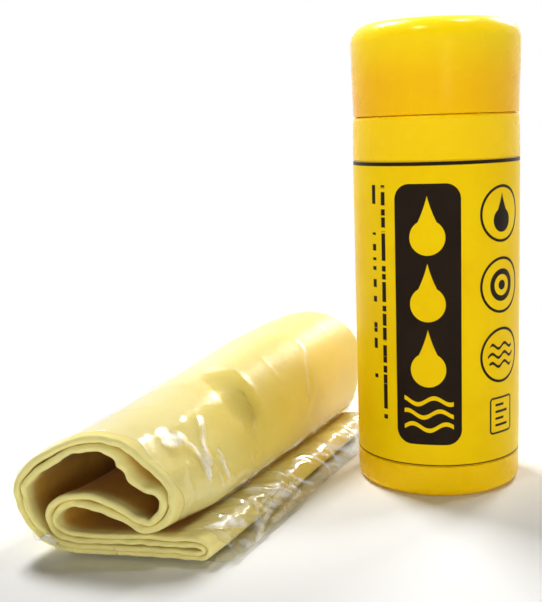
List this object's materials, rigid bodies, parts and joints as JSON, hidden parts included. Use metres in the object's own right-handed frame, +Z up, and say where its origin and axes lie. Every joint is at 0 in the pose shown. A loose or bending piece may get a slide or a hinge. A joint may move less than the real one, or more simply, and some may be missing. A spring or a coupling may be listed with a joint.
{
  "type": "synthetic chamois cloth with storage canister",
  "caption": "Rolled synthetic chamois cloth in a clear film bag, lying beside its round screw-capped storage canister with a wrap label.",
  "frame": {"origin": "on the floor, at the middle of the set's bounding box", "axes": "+Z up, +X from the roll towards the canister, +Y away from the roll's open end"},
  "size_m": [0.1934, 0.164, 0.184],
  "materials": {
    "canister_plastic": "smooth moulded yellow",
    "cap_plastic": "smooth moulded yellow",
    "liner_foam": "soft foamed sheet",
    "label_film": "printed film",
    "chamois": "soft fine-pored sheet",
    "clear_film": "clear thin film"
  },
  "bodies": {
    "canister": {"canister_body": "canister_plastic", "wrap_label": "label_film"},
    "liner": {"cap_liner": "liner_foam"},
    "cap": {"screw_cap": "cap_plastic"},
    "wrapped_roll": {"chamois_cloth": "chamois", "film_bag": "clear_film"}
  },
  "joints": [
    {"name": "cap_lift", "type": "slide", "parent": "canister", "child": "liner", "axis": [0, 0, 1], "range_m": [0, 0.027]},
    {"name": "cap_turn", "type": "hinge", "parent": "liner", "child": "cap", "pos_m": [0.06353, 0.00726, 0.166], "axis": [0, 0, 1], "range_deg": [0, 1080]},
    {"name": "roll_lift", "type": "slide", "parent": "canister", "child": "wrapped_roll", "axis": [0, 0, 1], "range_m": [0, 0.2]}
  ],
  "couplings": [
    {"joint": "cap_lift", "follows": "cap_turn", "m_per_rad": 0.0014324}
  ]
}
